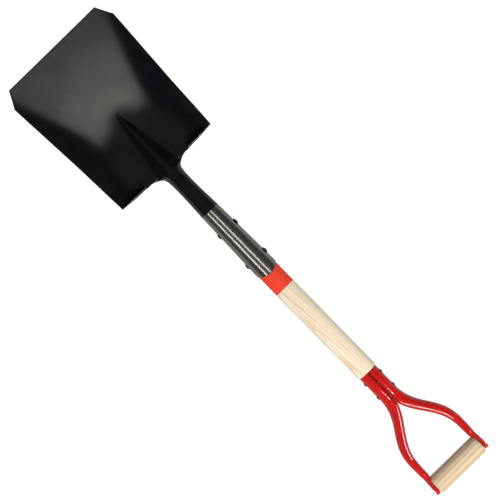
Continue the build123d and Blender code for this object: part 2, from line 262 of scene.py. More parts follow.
def lathe(profile, segments, place, closed=False):
    """Turns a profile of (along, radius) about an axis; place puts (along, radius, angle) in space.
    A closed profile makes a tube, and an open one ends on the axis at both ends."""
    rings = profile if closed else profile[1:-1]
    points = []
    for along, radius in rings:
        for i in range(segments):
            points.append(place(along, radius, 2 * math.pi * i / segments))
    faces = grid_faces(segments, len(rings), around=True)
    last = (len(rings) - 1) * segments
    if closed:
        for i in range(segments):
            k = (i + 1) % segments
            faces.append((last + i, last + k, k, i))
        return points, faces
    tips = (len(points), len(points) + 1)
    points += [place(profile[0][0], 0, 0), place(profile[-1][0], 0, 0)]
    for i in range(segments):
        k = (i + 1) % segments
        faces.append((tips[0], k, i))
        faces.append((tips[1], last + i, last + k))
    return points, faces


def along_x(s, radius, angle):
    """Round the shaft's axis, from a station."""
    return at_station(s), radius * math.sin(angle), AXIS_Z + radius * math.cos(angle)


def bent(corners, steps):
    """A profile with each inner corner (along, radius, rounding) turned into a small arc."""
    rounded = [corners[0][:2]]
    for before, here, after in zip(corners, corners[1:], corners[2:]):
        corner = Vector(here[:2])
        arms = []
        for other in (before, after):
            arm = Vector(other[:2]) - corner
            arms.append(corner + arm.normalized() * min(here[2], arm.length / 2))
        for i in range(steps + 1):
            t = i / steps
            arc = arms[0] * (1 - t) ** 2 + corner * 2 * t * (1 - t) + arms[1] * t**2
            rounded.append(tuple(arc))
    rounded.append(corners[-1][:2])
    return rounded


# ---- materials ----
def new_material(name, **constants):
    """A material with a Principled shader whose constant values are set on its own sockets."""
    material = bpy.data.materials.new(name)
    material.use_nodes = True
    bsdf = material.node_tree.nodes["Principled BSDF"]
    for socket, value in constants.items():
        bsdf.inputs[socket.replace("_", " ")].default_value = value
    return material


def node(material, kind, settings=None, **inputs):
    """A shader node with its settings, and its inputs either linked to a socket or set to a value."""
    made = material.node_tree.nodes.new(kind)
    for key, value in (settings or {}).items():
        setattr(made, key, value)
    for key, value in inputs.items():
        socket = made.inputs[key.replace("_", " ")]
        if isinstance(value, bpy.types.NodeSocket):
            material.node_tree.links.new(value, socket)
        else:
            socket.default_value = value
    return made


def feed(material, output, socket):
    """Links an output to a socket of the material's shader."""
    shader = material.node_tree.nodes["Principled BSDF"]
    material.node_tree.links.new(output, shader.inputs[socket])


def place_texture(material, scale=(1, 1, 1), turn=(0, 0, 0), move=(0, 0, 0)):
    """Object coordinates in metres, moved, turned by degrees and stretched."""
    where = node(material, "ShaderNodeTexCoord").outputs["Object"]
    turned = tuple(math.radians(a) for a in turn)
    mapping = node(material, "ShaderNodeMapping", Vector=where, Location=move, Rotation=turned, Scale=scale)
    return mapping.outputs["Vector"]


def grain(material, where, scale=1.0, detail=3.0, roughness=0.5, distortion=0.0):
    made = node(
        material,
        "ShaderNodeTexNoise",
        Vector=where,
        Scale=scale,
        Detail=detail,
        Roughness=roughness,
        Distortion=distortion,
    )
    return made.outputs["Fac"]


def remap(material, value, low, high, to_low, to_high):
    made = node(material, "ShaderNodeMapRange", {"interpolation_type": "SMOOTHSTEP"}, Value=value)
    made.inputs["From Min"].default_value = low
    made.inputs["From Max"].default_value = high
    made.inputs["To Min"].default_value = to_low
    made.inputs["To Max"].default_value = to_high
    return made.outputs["Result"]


def blend_colour(material, factor, first, second, how="MIX"):
    """Mixes two colours; each may be a colour or a socket."""
    made = material.node_tree.nodes.new("ShaderNodeMix")
    made.data_type = "RGBA"
    made.blend_type = how
    sockets = {"factor": made.inputs[0], "first": made.inputs[6], "second": made.inputs[7]}
    for key, value in {"factor": factor, "first": first, "second": second}.items():
        if isinstance(value, bpy.types.NodeSocket):
            material.node_tree.links.new(value, sockets[key])
        elif key == "factor":
            sockets[key].default_value = value
        else:
            sockets[key].default_value = (*value, 1.0)
    return made.outputs[2]


def calculate(material, operation, a, b):
    made = node(material, "ShaderNodeMath", {"operation": operation})
    for socket, value in zip(made.inputs, (a, b)):
        if isinstance(value, bpy.types.NodeSocket):
            material.node_tree.links.new(value, socket)
        else:
            socket.default_value = value
    return made.outputs["Value"]


def add_bump(material, layers):
    """Stacks bumps of (height, distance in metres, strength) and feeds the shader's normal."""
    normal = None
    for height, distance, strength in layers:
        made = node(material, "ShaderNodeBump", Height=height, Distance=distance, Strength=strength)
        if normal is not None:
            material.node_tree.links.new(normal, made.inputs["Normal"])
        normal = made.outputs["Normal"]
    feed(material, normal, "Normal")


def edge_mark(material):
    """The mesh's edge attribute."""
    return node(material, "ShaderNodeAttribute", {"attribute_name": "edge"}).outputs["Fac"]


NECK_POLISH_RUN = 0.02  # metres over which the paint gets smoother behind the pan


def black_paint():
    """Baked black enamel over steel: soft sheen, smoother on the neck, faint handling marks, a thin light
    bare-steel line along the front edge, and the same light line on the foot steps' tops as a painted
    highlight."""
    paint = new_material("blade_black", Specular_IOR_Level=0.62)
    metres = place_texture(paint)
    cloud = grain(paint, metres, scale=16, detail=4, roughness=0.55)
    fine = grain(paint, metres, scale=900, detail=2)
    drawn = place_texture(paint, scale=(18, 420, 420), turn=(0, 0, 4))
    streak = grain(paint, drawn, detail=5, roughness=0.6)
    scuff = remap(paint, streak, 0.66, 0.8, 0.0, 1.0)
    ragged = calculate(paint, "MULTIPLY", edge_mark(paint), remap(paint, fine, 0.35, 0.6, 0.35, 1.0))
    bare_line_and_highlight = remap(paint, ragged, 0.55, 0.9, 0.0, 1.0)
    depth = remap(paint, cloud, 0.3, 0.7, 0.0, 1.0)
    tone = blend_colour(paint, depth, (0.0022, 0.0020, 0.0032), (0.0034, 0.0032, 0.0044))
    tone = blend_colour(paint, calculate(paint, "MULTIPLY", scuff, 0.25), tone, (0.03, 0.031, 0.03))
    # a light bare-steel line along the front edge; on the foot steps' tops it is a painted highlight
    tone = blend_colour(paint, bare_line_and_highlight, tone, (0.5, 0.5, 0.48))
    feed(paint, tone, "Base Color")
    feed(paint, calculate(paint, "MULTIPLY", bare_line_and_highlight, 0.4), "Metallic")
    along = node(paint, "ShaderNodeSeparateXYZ", Vector=metres).outputs["X"]
    neck_x = at_station(REAR_S) * MM
    polish = remap(paint, along, neck_x, neck_x + NECK_POLISH_RUN, 0.0, 0.1)
    rough = calculate(paint, "SUBTRACT", remap(paint, cloud, 0.25, 0.75, 0.24, 0.265), polish)
    feed(paint, calculate(paint, "ADD", rough, calculate(paint, "MULTIPLY", scuff, 0.12)), "Roughness")
    wavy = grain(paint, metres, scale=22, detail=2)
    add_bump(paint, [(wavy, 0.0005, 0.25), (fine, 0.00004, 0.35)])
    return paint


def collar_steel():
    """Bare rolled steel, drawn lengthwise, with mill streaks and dulled patches."""
    steel = new_material("collar_steel", Metallic=1.0)
    lines = grain(steel, place_texture(steel, scale=(4, 400, 400)))
    patch = grain(steel, place_texture(steel, scale=(14, 60, 60)), detail=2)
    drawn = remap(steel, lines, 0.3, 0.7, 0.0, 1.0)
    tone = blend_colour(steel, drawn, (0.33, 0.315, 0.285), (0.42, 0.405, 0.375))
    tone = blend_colour(steel, remap(steel, patch, 0.5, 0.8, 0.0, 0.4), tone, (0.2, 0.175, 0.14))
    feed(steel, tone, "Base Color")
    feed(steel, remap(steel, patch, 0.3, 0.75, 0.21, 0.23), "Roughness")
    return steel


def rivet_metal(name, dark, light, roughness):
    """Hammered rivet heads."""
    metal = new_material(name, Metallic=1.0)
    spots = grain(metal, place_texture(metal), scale=420, detail=4)
    tone = blend_colour(metal, remap(metal, spots, 0.3, 0.7, 0.0, 1.0), dark, light)
    feed(metal, tone, "Base Color")
    feed(metal, remap(metal, spots, 0.3, 0.7, roughness, roughness + 0.15), "Roughness")
    add_bump(metal, [(spots, 0.0002, 0.35)])
    return metal


def enamel(name, tone, deep, roughness, coat):
    """Bright paint with a little orange peel and slightly uneven depth, darker red along the edges that the
    edge attribute marks.
    """
    paint = new_material(name, Coat_Weight=coat, Coat_Roughness=0.03, Specular_IOR_Level=0.0)
    metres = place_texture(paint)
    cloud = grain(paint, metres, scale=30, detail=4)
    peel = grain(paint, metres, scale=420, detail=2)
    colour = blend_colour(paint, remap(paint, cloud, 0.3, 0.7, 0.0, 1.0), tone, deep)
    ragged = calculate(paint, "MULTIPLY", edge_mark(paint), remap(paint, peel, 0.4, 0.6, 0.2, 1.0))
    # darker red along the marked edges; on the yoke these are the rim of its sheet at the seam and the mouth
    colour = blend_colour(paint, remap(paint, ragged, 0.5, 0.95, 0.0, 0.6), colour, (0.25, 0.02, 0.015))
    feed(paint, colour, "Base Color")
    feed(paint, remap(paint, cloud, 0.3, 0.7, roughness, roughness + 0.06), "Roughness")
    add_bump(paint, [(cloud, 0.0003, 0.08), (peel, 0.00003, 0.1)])
    return paint


WARP = 0.004  # metres that the growth rings wander


def wood(name, early, late, pore, pith, turn, axis_scale, ring, roughness):
    """Sawn hardwood. The growth rings lie round a pith line outside the piece, a little out of line
    with it, so that its round surface cuts them into long lines and arches."""
    timber = new_material(name, Coat_Weight=0.25, Coat_Roughness=0.3)
    metres = place_texture(timber)
    stretched = place_texture(timber, scale=axis_scale)
    warp = node(timber, "ShaderNodeTexNoise", Vector=stretched, Scale=9.0, Detail=2.0)
    shifted = node(timber, "ShaderNodeVectorMath", {"operation": "SUBTRACT"})
    timber.node_tree.links.new(warp.outputs["Color"], shifted.inputs[0])
    shifted.inputs[1].default_value = (0.5, 0.5, 0.5)  # centres the noise on nothing
    scaled = node(timber, "ShaderNodeVectorMath", {"operation": "SCALE"}, Scale=WARP)
    timber.node_tree.links.new(shifted.outputs[0], scaled.inputs[0])
    joined = node(timber, "ShaderNodeVectorMath", {"operation": "ADD"})
    timber.node_tree.links.new(metres, joined.inputs[0])
    timber.node_tree.links.new(scaled.outputs[0], joined.inputs[1])
    turned = node(
        timber,
        "ShaderNodeMapping",
        {"vector_type": "TEXTURE"},
        Vector=joined.outputs[0],
        Location=pith,
        Rotation=tuple(math.radians(a) for a in turn),
    )
    rings = node(
        timber,
        "ShaderNodeTexWave",
        {"wave_type": "RINGS", "rings_direction": "X", "wave_profile": "SAW"},
        Vector=turned.outputs["Vector"],
        Scale=ring,
        Distortion=0.6,
        Detail=2.0,
    )
    rings.inputs["Detail Scale"].default_value = 3.0
    band = remap(timber, rings.outputs["Fac"], 0.35, 1.0, 0.0, 1.0)
    fine, finest, broad = [
        place_texture(timber, scale=tuple(a * k for a in axis_scale)) for k in (130, 260, 12)
    ]
    fibre = grain(timber, fine, detail=5, roughness=0.65)
    vessels = grain(timber, finest, detail=2)
    cloud = grain(timber, broad, detail=3)
    tone = blend_colour(timber, calculate(timber, "MULTIPLY", band, 0.9), early, late)
    tone = blend_colour(timber, remap(timber, cloud, 0.35, 0.65, 0.0, 0.2), tone, late)
    tone = blend_colour(timber, remap(timber, fibre, 0.42, 0.72, 0.0, 0.55), tone, late)
    dots = calculate(timber, "MULTIPLY", remap(timber, vessels, 0.56, 0.68, 0.0, 1.0), band)
    tone = blend_colour(timber, calculate(timber, "MULTIPLY", dots, 0.5), tone, pore)
    feed(timber, tone, "Base Color")
    feed(timber, remap(timber, fibre, 0.3, 0.7, roughness, roughness + 0.12), "Roughness")
    add_bump(timber, [(fibre, 0.00012, 0.3), (dots, -0.00012, 0.4)])
    return timber


BLADE_PAINT = black_paint()
COLLAR_STEEL = collar_steel()
DARK_RIVET = rivet_metal("dark_rivet", (0.035, 0.026, 0.017), (0.12, 0.095, 0.065), 0.3)
STEEL_RIVET = rivet_metal("steel_rivet", (0.2, 0.19, 0.18), (0.42, 0.41, 0.4), 0.25)
BAND_RED = enamel("band_red", (0.77, 0.062, 0.034), (0.73, 0.054, 0.029), 0.38, 0.2)
YOKE_RED = enamel("yoke_red", (0.53, 0.012, 0.010), (0.47, 0.010, 0.008), 0.3, 1.0)
# the wood's figure is drawn out along each piece's length
ALONG_SHAFT = (0.05, 1.0, 1.0)
ALONG_GRIP = (1.0, 0.05, 1.0)
ASH = wood(
    "ash_wood",
    (0.86, 0.755, 0.59),
    (0.74, 0.57, 0.37),
    (0.5, 0.33, 0.18),
    (0.2, 0.045, -0.02),
    (0, 1.2, 1.6),
    ALONG_SHAFT,
    95.0,
    0.42,
)
GRIP_WOOD = wood(
    "grip_wood",
    (0.66, 0.535, 0.365),
    (0.50, 0.36, 0.21),
    (0.36, 0.22, 0.12),
    (0.47, 0.0, 0.012),
    (0, 4, 88),
    ALONG_GRIP,
    46.0,
    0.45,
)


# ---- blade ----
def pan_z(s):
    """Height of the pan beside the frog: two slopes that meet at the heel."""
    front = (HEEL_S - s) * FRONT_LIFT
    rear = (s - HEEL_S) * REAR_LIFT
    return SHEET + soft_max(front, rear, HEEL_BLEND) - HEEL_DIP


def foot_y(s):
    """Half width at which the side walls leave the pan."""
    front = FOOT_HALF + (FOOT_S - s) * FRONT_FLARE
    rear = FOOT_HALF + (s - FOOT_S) * REAR_FLARE
    return soft_max(front, rear, FOOT_BLEND)


def wall_slope(s):
    return mix(WALL_SLOPE, REAR_WALL_SLOPE, ease((s - WALL_CHANGE_S) / (REAR_S - HEEL_S)))


def frog_half(s):
    """Half width of the frog at the pan."""
    grown = FROG_HALF * (max(s - FROG_S + FROG_RUN_IN, 0.0) / FROG_LENGTH) ** FROG_TAPER
    return min(max(grown, FROG_TIP_HALF), FROG_HALF)


def frog_crest(s):
    """Height of the frog's crest: a ramp from its tip that levels out as the top of the neck."""
    top = AXIS_Z + NECK_R
    start = pan_z(FROG_S)
    ramp = start + (s - FROG_S) * (top - start) / (CREST_END_S - FROG_S)
    return -soft_max(-ramp, -top, CREST_BLEND)


def pressing_z(s, y):
    """Height of the blade's upper face at a station and a distance from the middle."""
    y = abs(y)
    z = pan_z(s) + SWELL_H * math.exp(-(((s - SWELL_S) ** 2 + y**2) / SWELL_REACH**2))
    rise = y - foot_y(s)
    z += wall_slope(s) * (rise + math.hypot(rise, FOOT_ROUND)) / 2
    height = max(frog_crest(s) - pan_z(s), 0.0)
    half = frog_half(s)
    if y < half:
        z += height * (1 + math.cos(math.pi * y / half)) / 2
    return z


SIDE_BOW = 0.8  # the sides are this much hollow halfway along
CUT_IN = 0.5  # the sheet is cut square, so the upper corner of its edge lies inside the outline


def outline_half(s):
    """Half width of the pan: clipped front corners, then sides that draw in towards the rear."""
    if s < CORNER_S:
        return mix(FRONT_HALF, BLADE_HALF, s / CORNER_S) - CUT_IN
    t = min((s - CORNER_S) / (REAR_S - REAR_SWEEP - CORNER_S), 1.0)
    return mix(BLADE_HALF, REAR_HALF, t) - SIDE_BOW * math.sin(math.pi * t) - CUT_IN


STRIP_COLUMNS = 16  # on each side of the middle, over the frog and on into the neck
PANEL_COLUMNS = 30  # from there to each side
CORNER_ROWS = 12
PAN_ROWS = 110
STEP_ROWS = 14
NECK_ROWS = 60
NECK_ROW_POWER = 1.6  # above 1, so that the neck's rows are closest where it starts
SOCKET_ROWS = 8
SHOULDER_RUN = 0.2  # rows this close keep the neck's rear corner sharp
SOCKET_RUN_IN = 0.4  # length of the step down from the neck to the socket
STEP_BEND = 3.0  # radius where the pan turns up into a foot step
STEP_BEND_SHARE = 1.3  # a low step's height over the radius of its bend
STEP_RUN_IN = 7.0  # length over which a step rises at its inner end
STEP_LEAD = 2.0  # it starts to rise this far inside STEP_END
STEP_LEVEL = 5.0  # its top is level over this width, then slopes to the corner
LEAST_RISE = 0.4  # least height of a step
LEAST_WALL = 0.1  # least height of its upright part over the bend
FLAT_END = 0.2  # a step's rows: the flat run ends here, and the bend at BEND_END
BEND_END = 0.6
FRONT_BARE_LINE = 0.7  # strength of the light bare-steel line along the front edge
# strength of the light bare-steel line on the foot steps' tops, a painted highlight
STEP_PAINTED_HIGHLIGHT = 1.0
MESH_COLUMNS = 2 * (STRIP_COLUMNS + PANEL_COLUMNS) + 1


def column_y(column, s):
    """Y of a column of points at a station: the inner columns keep to the frog."""
    side = math.copysign(1.0, column)
    strip = STRIP_HALF * frog_half(s) / FROG_HALF
    if abs(column) <= STRIP_COLUMNS:
        return side * strip * abs(column) / STRIP_COLUMNS
    return side * mix(strip, outline_half(s), (abs(column) - STRIP_COLUMNS) / PANEL_COLUMNS)


def rear_station(y):
    """Station of the pan's rear edge."""
    return REAR_S - REAR_SWEEP * max(abs(y) - STEP_END, 0.0) / (REAR_HALF - STEP_END)


def pan_point(column, t):
    """A point of the pan, t from 0 at the front to 1 where the step's bend starts."""
    end = rear_station(column_y(column, REAR_S)) - SHEET - STEP_BEND
    corner = CORNER_ROWS / PAN_ROWS
    s = mix(CUT_IN, CORNER_S, t / corner) if t < corner else mix(CORNER_S, end, (t - corner) / (1 - corner))
    y = column_y(column, s)
    return s, y, pressing_z(s, y)


def step_point(column, t):
    """A point behind the pan: the foot step where there is one, else the level run to its edge."""
    start_s, start_y, _ = pan_point(column, 1.0)
    end = rear_station(column_y(column, REAR_S))
    flat_s = mix(start_s, end, t)
    flat = (flat_s, column_y(column, flat_s), pressing_z(flat_s, column_y(column, flat_s)))
    width = abs(start_y)
    amount = ease((width - STEP_END + STEP_LEAD) / STEP_RUN_IN)
    if amount == 0:
        return flat
    rim_z = pressing_z(end - SHEET, REAR_HALF)
    slope_y = STEP_END + STEP_LEVEL
    top = mix(STEP_Z, rim_z, max(width - slope_y, 0.0) / (REAR_HALF - slope_y))
    foot_s = end - SHEET - STEP_BEND
    foot_z = pressing_z(foot_s, start_y)
    rise = max(top - foot_z, LEAST_RISE)
    bend = min(STEP_BEND, rise / STEP_BEND_SHARE)
    if t < FLAT_END:
        s = mix(start_s, end - SHEET - bend, t / FLAT_END)
        z = pressing_z(s, start_y)
    elif t < BEND_END:
        angle = math.pi / 2 * (t - FLAT_END) / (BEND_END - FLAT_END)
        s = end - SHEET - bend + bend * math.sin(angle)
        z = pressing_z(end - SHEET - bend, start_y) + bend * (1 - math.cos(angle))
    else:
        s = end - SHEET
        low = pressing_z(end - SHEET - bend, start_y) + bend
        z = mix(low, max(top, low + LEAST_WALL), (t - BEND_END) / (1 - BEND_END))
    return mix_point(flat, (s, start_y, z), amount)


def neck_radius(s):
    flare = max(s - NECK_FLARE_S, 0.0) / (SOCKET_S - NECK_FLARE_S)
    return mix(NECK_R, SOCKET_R, flare**NECK_FLARE_POWER)


def neck_point(column, s):
    """A point of the strip that curls from the frog into the round neck, or of the socket in the
    collar behind it."""
    angle = math.radians(180 - SOCKET_GAP / 2) * column / STRIP_COLUMNS
    if s > SOCKET_S:
        radius = mix(TANG_R, TANG_END_R, (s - SOCKET_S) / (SOCKET_END - SOCKET_S))
        return s, radius * math.sin(angle), AXIS_Z + radius * math.cos(angle)
    curl = 1 - math.exp(-(s - REAR_S) / NECK_CURL)
    flat_y = STRIP_HALF * column / STRIP_COLUMNS
    flat_z = pressing_z(s, flat_y)
    radius = neck_radius(s)
    ring = (s, radius * math.sin(angle), AXIS_Z + radius * math.cos(angle))
    return mix_point((s, flat_y, flat_z), ring, curl)


def build_blade():
    half = STRIP_COLUMNS + PANEL_COLUMNS
    upper = []
    for row in range(PAN_ROWS + 1):
        upper += [pan_point(c, row / PAN_ROWS) for c in range(-half, half + 1)]
    for row in range(1, STEP_ROWS + 1):
        upper += [step_point(c, row / STEP_ROWS) for c in range(-half, half + 1)]
    faces = grid_faces(MESH_COLUMNS, PAN_ROWS + STEP_ROWS + 1)
    spread = [(row / NECK_ROWS) ** NECK_ROW_POWER for row in range(1, NECK_ROWS)]
    stations = [mix(REAR_S, SOCKET_S, share) for share in spread]
    stations += [SOCKET_S - SHOULDER_RUN, SOCKET_S]
    socket_start = SOCKET_S + SOCKET_RUN_IN
    stations += [mix(socket_start, SOCKET_END, i / SOCKET_ROWS) for i in range(SOCKET_ROWS + 1)]
    strip = range(-STRIP_COLUMNS, STRIP_COLUMNS + 1)
    before = [(PAN_ROWS + STEP_ROWS) * MESH_COLUMNS + half + c for c in strip]
    for s in stations:
        here = list(range(len(upper), len(upper) + len(strip)))
        upper += [neck_point(c, s) for c in strip]
        for i in range(2 * STRIP_COLUMNS):
            faces.append((before[i], before[i + 1], here[i + 1], here[i]))
        before = here
    # Y grows with the column and the station with the row, so this order faces down
    faces = [tuple(reversed(face)) for face in faces]
    upper = [(at_station(s), y, z) for s, y, z in upper]
    normals = point_normals(upper, faces)
    lower = [tuple(Vector(p) - n * SHEET) for p, n in zip(upper, normals)]
    points, faces, rim = shell(upper, lower, faces, EDGE_ROUND)
    # just behind the clipped corners, and just in front of the foot steps
    front, rear = at_station(CORNER_S + 1), at_station(REAR_S - STEP_BEND)
    edge = [0.0] * len(points)
    for i in rim:
        x, y, _ = points[i]
        if x < front:
            edge[i] = FRONT_BARE_LINE
        # the foot steps' tops get the light line as a painted highlight
        elif x > rear and abs(y) > STEP_END:
            edge[i] = STEP_PAINTED_HIGHLIGHT
    return make_piece("blade_sheet", points, faces, BLADE_PAINT, "blade", "blade_black", edge)


# ---- collar, band and shaft ----
def collar_radius(s):
    return mix(SOCKET_R, COLLAR_R, (s - SOCKET_S) / (COLLAR_TIP_S - SOCKET_S))


def turn_about_shaft(point, angle):
    """A point turned about the shaft's axis, +Y towards +Z."""
    x, y, z = point
    c, h = math.cos(angle), math.sin(angle)
    return x, y * c - (z - AXIS_Z) * h, AXIS_Z + y * h + (z - AXIS_Z) * c


def press_seats(point, rivets, head_r, seat_of):
    """Pushes a round surface in to a flat under each rivet's head, with a soft edge."""
    x, y, z = turn_about_shaft(point, -RIVET_TILT)
    for s in rivets.values():
        away = math.hypot(x - at_station(s), z - AXIS_Z)
        amount = 1 - ease((away - head_r) / SEAT_EDGE)
        seat = seat_of(s)
        if amount > 0 and abs(y) > seat:
            y = math.copysign(mix(abs(y), seat, amount), y)
    return turn_about_shaft((x, y, z), RIVET_TILT)


COLLAR_COLUMNS = 144
COLLAR_ROWS = 110


def build_collar():
    depth = COLLAR_TIP_S - COLLAR_SIDE_S
    half = collar_radius(COLLAR_SIDE_S)
    arc = (half**2 + depth**2) / (2 * depth)
    outer, inner = [], []
    for row in range(COLLAR_ROWS + 1):
        for column in range(COLLAR_COLUMNS):
            angle = 2 * math.pi * column / COLLAR_COLUMNS
            across = half * math.sin(angle)
            end = COLLAR_TIP_S - arc + math.sqrt(arc**2 - across**2)
            s = mix(SOCKET_S + CLEAR, end, row / COLLAR_ROWS)
            skin = along_x(s, collar_radius(s), angle)
            outer.append(press_seats(skin, COLLAR_RIVETS, HEAD_R, lambda at: collar_radius(at) - SEAT))
            inner.append(along_x(s, collar_radius(s) - COLLAR_T, angle))
    faces = [tuple(reversed(f)) for f in grid_faces(COLLAR_COLUMNS, COLLAR_ROWS + 1, around=True)]
    points, faces, _ = shell(outer, inner, faces, COLLAR_ROUND)
    return make_piece("collar_sleeve", points, faces, COLLAR_STEEL, "socket_collar", "collar_steel")


PROFILE_SEAM = 1.0  # a tube's profile closes in its bore, where its first and last points are this far apart


def build_band():
    inside = BAND_R - BAND_T
    seam_s = BAND_START_S + 20
    corners = [
        (seam_s, inside, 0),
        (BAND_START_S, inside, 0.05),
        (BAND_START_S, BAND_R, 0.15),
        (BAND_END_S, BAND_R, 0.15),
        (BAND_END_S, inside, 0.05),
        (seam_s + PROFILE_SEAM, inside, 0),
    ]
    points, faces = lathe(bent(corners, 3), ROUND_COLUMNS, along_x, closed=True)
    faces = [tuple(reversed(f)) for f in faces]
    return make_piece("painted_band", points, faces, BAND_RED, "red_band", "band_red")


SLOT_HALF = 3.7  # half height of the tenon between its slots
LEAST_COSINE = 0.1  # keeps the slot's radius finite at the sides


def build_shaft():
    in_socket = SHEET + CLEAR
    under_band = BAND_R - BAND_T - CLEAR
    shoulder = SHAFT_END_S - CLEAR
    corners = [
        (SHAFT_START_S, 0, 0),
        (SHAFT_START_S, SHAFT_TIP_R, 1.5),
        (TAPER_S, TAPER_R, 30),
        (SOCKET_S, TANG_R - in_socket, 30),
        (SOCKET_END, TANG_END_R - in_socket, 1),
        (SOCKET_END + 2, under_band, 1),
        (BAND_END_S, under_band + 0.05, 0.05),
        (BAND_END_S + CLEAR, SHAFT_R, 0.5),
        (shoulder, SHAFT_R, 2.6),
        (shoulder, TENON_R, 0.3),
        (TENON_END_S, TENON_R, 1.0),
        (TENON_END_S, 0, 0),
    ]

    def place(s, radius, angle):
        """Round the shaft's axis; the tenon has a slot above and below for the yoke's seam."""
        in_slot = s > SHAFT_END_S and abs(radius * math.sin(angle)) < 2 * YOKE_T
        if in_slot and radius > 0:
            radius = min(radius, SLOT_HALF / max(abs(math.cos(angle)), LEAST_COSINE))
        return along_x(s, radius, angle)

    points, faces = lathe(bent(corners, 6), ROUND_COLUMNS, place)
    faces = [tuple(reversed(f)) for f in faces]
    return make_piece("shaft_wood", points, faces, ASH, "shaft", "ash_wood")


# ---- yoke ----
# Each row of an arm: station, inner half width, outer half width, half width where it is tallest,
# half height, squareness of its inner side. The halves all but touch at the seam.
SEAM_GAP = 0.03
SOCKET_ROW = (SEAM_GAP, YOKE_R, 6.0, 18.1, 3.0)
ARM = (
    (SHAFT_END_S, *SOCKET_ROW),
    (TENON_END_S, *SOCKET_ROW),
    (887.0, SEAM_GAP, 22.6, 8.0, 17.2, 2.6),
    (903.0, 5.4, 29.1, 16.5, 16.0, 2.2),
    (915.0, 12.0, 36.0, 23.8, 15.3, 2.0),
    (927.0, 20.1, 43.9, 31.8, 14.6, 2.0),
    (939.0, 28.4, 51.2, 39.8, 13.9, 2.0),
    (951.0, 36.0, 57.3, 46.8, 13.3, 2.0),
    (962.0, 41.7, 60.9, 51.5, 12.9, 2.0),
    (973.0, 45.6, 63.1, 54.5, 12.6, 2.0),
    (985.0, 48.2, 64.2, 56.3, 12.3, 2.0),
    (1000.0, 49.2, 64.1, 56.7, 12.2, 2.0),
    (HOLLOW_END_S, 49.7, 63.4, 56.6, 12.5, 2.0),
    (1023.0, 50.6, 63.2, 57.0, 13.3, 2.2),
    (1026.5, 54.0, 63.3, 58.5, 14.2, 2.8),
    (1029.5, 55.9, 63.6, 59.5, 14.9, 3.3),
    (1032.5, 56.5, 63.9, 60.0, 15.3, 3.8),
    (1036.0, 56.5, 64.2, 60.2, EAR_R, 4.0),
    (1045.0, 56.5, EAR_HALF, 60.2, EAR_R, 4.0),
    (1062.0, 56.5, EAR_HALF, 60.2, EAR_R, 4.0),
)
ARM_COLUMNS = 64
SEAM_ROWS = 60  # rows of points along the seam, the hollow arm, the bend beside the grip and the ear
HOLLOW_ROWS = 90
BEND_ROWS = 30
EAR_ROWS = 24
EAR_TURN = math.radians(88)  # the ear's round end stops just short of its tip
SEAM_REACH = 1.5  # the seam's wall lies within this of the middle
# how much darker red the rim of each yoke half's sheet is, along the seam and at the mouth
YOKE_EDGE_DARKENING = 0.8


def tangents(rows, k):
    """Slopes of a smooth curve through one value of the rows, which never overshoots them."""
    secants = [(b[k] - a[k]) / (b[0] - a[0]) for a, b in zip(rows, rows[1:])]
    slopes = [secants[0]]
    for a, b in zip(secants, secants[1:]):
        slopes.append(2 * a * b / (a + b) if a * b > 0 else 0.0)
    slopes.append(secants[-1])
    return slopes


ARM_TANGENTS = {k: tangents(ARM, k) for k in range(1, 6)}


def arm_row(s):
    """Inner, outer, tallest, half height and squareness of the arm at a station."""
    i = max(j for j, row in enumerate(ARM[:-1]) if row[0] <= s)
    a, b = ARM[i], ARM[i + 1]
    run = b[0] - a[0]
    t = (s - a[0]) / run
    values = []
    for k in range(1, 6):
        m0, m1 = ARM_TANGENTS[k][i] * run, ARM_TANGENTS[k][i + 1] * run
        start = (1 + 2 * t) * (1 - t) ** 2 * a[k] + t * (1 - t) ** 2 * m0
        values.append(start + t * t * (3 - 2 * t) * b[k] + t * t * (t - 1) * m1)
    return values


def arm_point(s, angle, wall=0.0):
    """A point of an arm's cross-section, round outside and squarer inside. The angle starts at the
    outer side and turns over the top."""
    inner, outer, tallest, half_height, square = arm_row(s)
    inner, outer, half_height = inner + wall, outer - wall, half_height - wall
    if s > GRIP_S:
        half_height *= math.sqrt(max(1 - ((s - GRIP_S) / EAR_R) ** 2, 0.0))
    c, h = math.cos(angle), math.sin(angle)
    power = 1.0 if c >= 0 else 2 / square
    reach = outer - tallest if c >= 0 else tallest - inner
    y = tallest + reach * math.copysign(abs(c) ** power, c)
    return at_station(s), y, AXIS_Z + half_height * math.copysign(abs(h) ** power, h)


def dish(point):
    """Presses the ear's outer face in round the rod's head."""
    x, y, z = point
    away = math.hypot(x - at_station(GRIP_S), z - AXIS_Z)
    amount = 1 - ease((away - DISH_R + DISH_SIDE / 2) / DISH_SIDE)
    if y > DISH_Y:
        y = mix(y, DISH_Y, amount)
    return x, y, z


